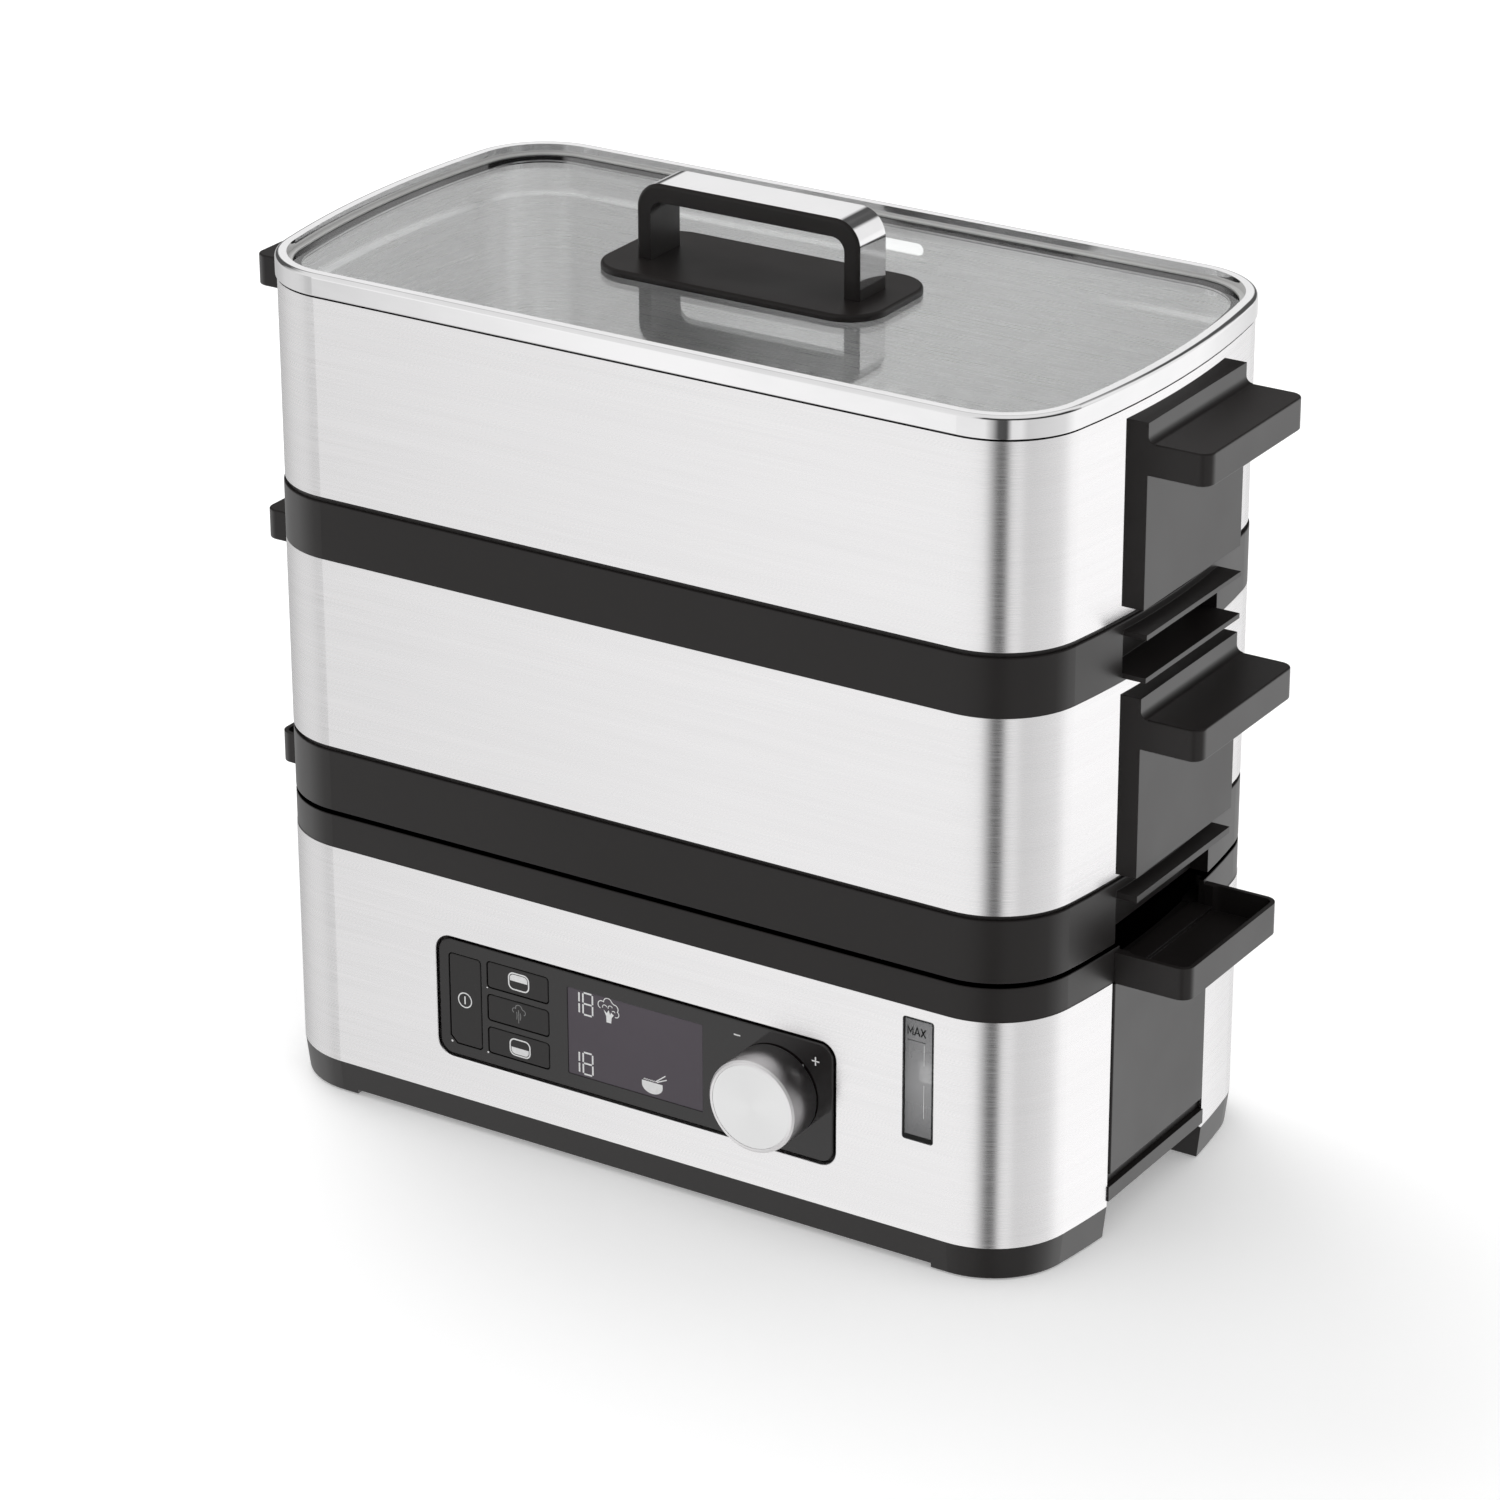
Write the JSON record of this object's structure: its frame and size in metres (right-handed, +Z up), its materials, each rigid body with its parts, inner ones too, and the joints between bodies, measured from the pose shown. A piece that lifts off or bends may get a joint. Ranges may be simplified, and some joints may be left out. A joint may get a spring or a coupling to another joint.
{
  "type": "electric food steamer",
  "caption": "Two-tier electric food steamer: steel-clad base with water tank, display, knob and buttons, drip trays, steel baskets with side grips, glass lid",
  "frame": {"origin": "centre of the overall bounding rectangle, on the floor", "axes": "+X along the length towards the level window, +Y from the controls to the back, +Z up"},
  "size_m": [0.3742, 0.1838, 0.3324],
  "materials": {
    "brushed_steel": "satin stainless sheet, brushed horizontally",
    "black_plastic": "fine matt moulded black polypropylene",
    "gloss_panel": "glossy black-brown control fascia",
    "lcd_glass": "dark grey-violet display window",
    "button_satin": "satin black button caps with pale printed marks",
    "knob_chrome": "polished rim",
    "knob_satin": "spun satin disc",
    "lid_polished": "polished stainless rim and strip",
    "lid_glass": "clear tempered glass, faintly grey",
    "window_smoke": "smoked clear level window",
    "float_white": "white hollow float",
    "tank_plastic": "heat-proof moulding",
    "silicone": "soft sealing silicone",
    "pale_silicone": "milky translucent silicone",
    "foot_rubber": "anti-slip pad",
    "heater_metal": "cast heater plate and tube",
    "screw_steel": "stainless screws",
    "circuit_board": "green laminate",
    "component_body": "electrical component housings"
  },
  "bodies": {
    "base_unit": {"front_shell": "brushed_steel", "back_shell": "brushed_steel", "base_frame": "black_plastic", "bottom_tray": "black_plastic", "foot_pads": "foot_rubber", "base_screws": "screw_steel", "water_tank": "tank_plastic", "tank_gasket": "silicone", "base_collar": "black_plastic", "side_cover_right": "black_plastic", "side_cover_left": "black_plastic", "filler_tray_right": "black_plastic", "filler_tray_left": "black_plastic", "heater_plate": "heater_metal", "heating_element": "heater_metal", "heater_seal": "silicone", "heater_screws": "screw_steel", "thermostat": "component_body", "thermal_fuse": "component_body", "steam_diffuser": "tank_plastic", "water_window": "window_smoke", "window_seal": "silicone", "control_panel": "gloss_panel", "lcd_display": "lcd_glass", "lcd_module": "component_body", "control_board": "circuit_board", "board_screws": "screw_steel", "tact_switches": "component_body", "rotary_encoder": "component_body", "power_board": "circuit_board", "relays": "component_body", "terminal_block": "component_body", "mains_gland": "black_plastic"},
    "power_key": {"power_button": "button_satin"},
    "upper_tier_key": {"upper_tier_button": "button_satin"},
    "steam_key": {"steam_button": "button_satin"},
    "lower_tier_key": {"lower_tier_button": "button_satin"},
    "knob": {"knob_shaft": "screw_steel", "knob_cap": "knob_chrome", "knob_face": "knob_satin"},
    "water_float": {"level_float": "float_white"},
    "lower_tray_unit": {"lower_drip_tray": "black_plastic"},
    "lower_basket_unit": {"lower_basket": "brushed_steel", "lower_basket_screws": "screw_steel", "lower_handle_right": "black_plastic", "lower_handle_left": "black_plastic"},
    "lower_grid_unit": {"lower_floor_grid": "brushed_steel"},
    "upper_tray_unit": {"upper_drip_tray": "black_plastic"},
    "upper_basket_unit": {"upper_basket": "brushed_steel", "upper_basket_screws": "screw_steel", "upper_handle_right": "black_plastic", "upper_handle_left": "black_plastic"},
    "upper_grid_unit": {"upper_floor_grid": "brushed_steel"},
    "lid_unit": {"lid_rim": "lid_polished", "lid_gasket": "pale_silicone", "lid_glass": "lid_glass", "lid_handle_pad": "black_plastic", "lid_handle_core": "black_plastic", "lid_handle_strip": "lid_polished", "lid_screws": "screw_steel"}
  },
  "joints": [
    {"name": "power_press", "type": "slide", "parent": "base_unit", "child": "power_key", "axis": [0, 1, 0], "range_m": [0, 0.0008], "stiffness_N_per_m": 600},
    {"name": "upper_tier_press", "type": "slide", "parent": "base_unit", "child": "upper_tier_key", "axis": [0, 1, 0], "range_m": [0, 0.0008], "stiffness_N_per_m": 600},
    {"name": "steam_press", "type": "slide", "parent": "base_unit", "child": "steam_key", "axis": [0, 1, 0], "range_m": [0, 0.0008], "stiffness_N_per_m": 600},
    {"name": "lower_tier_press", "type": "slide", "parent": "base_unit", "child": "lower_tier_key", "axis": [0, 1, 0], "range_m": [0, 0.0008], "stiffness_N_per_m": 600},
    {"name": "knob_turn", "type": "hinge", "parent": "base_unit", "child": "knob", "pos_m": [0.0573, -0.0919, 0.051], "axis": [0, 1, 0], "continuous": true},
    {"name": "float_rise", "type": "slide", "parent": "base_unit", "child": "water_float", "axis": [0, 0, 1], "range_m": [-0.014, 0.017]},
    {"name": "lower_tray_lift", "type": "slide", "parent": "base_unit", "child": "lower_tray_unit", "axis": [0, 0, 1], "range_m": [0, 0.1]},
    {"name": "lower_basket_lift", "type": "slide", "parent": "lower_tray_unit", "child": "lower_basket_unit", "axis": [0, 0, 1], "range_m": [0, 0.1]},
    {"name": "lower_grid_lift", "type": "slide", "parent": "lower_basket_unit", "child": "lower_grid_unit", "axis": [0, 0, 1], "range_m": [0, 0.05]},
    {"name": "upper_tray_lift", "type": "slide", "parent": "lower_basket_unit", "child": "upper_tray_unit", "axis": [0, 0, 1], "range_m": [0, 0.1]},
    {"name": "upper_basket_lift", "type": "slide", "parent": "upper_tray_unit", "child": "upper_basket_unit", "axis": [0, 0, 1], "range_m": [0, 0.1]},
    {"name": "upper_grid_lift", "type": "slide", "parent": "upper_basket_unit", "child": "upper_grid_unit", "axis": [0, 0, 1], "range_m": [0, 0.05]},
    {"name": "lid_lift", "type": "slide", "parent": "upper_basket_unit", "child": "lid_unit", "axis": [0, 0, 1], "range_m": [0, 0.1]}
  ]
}
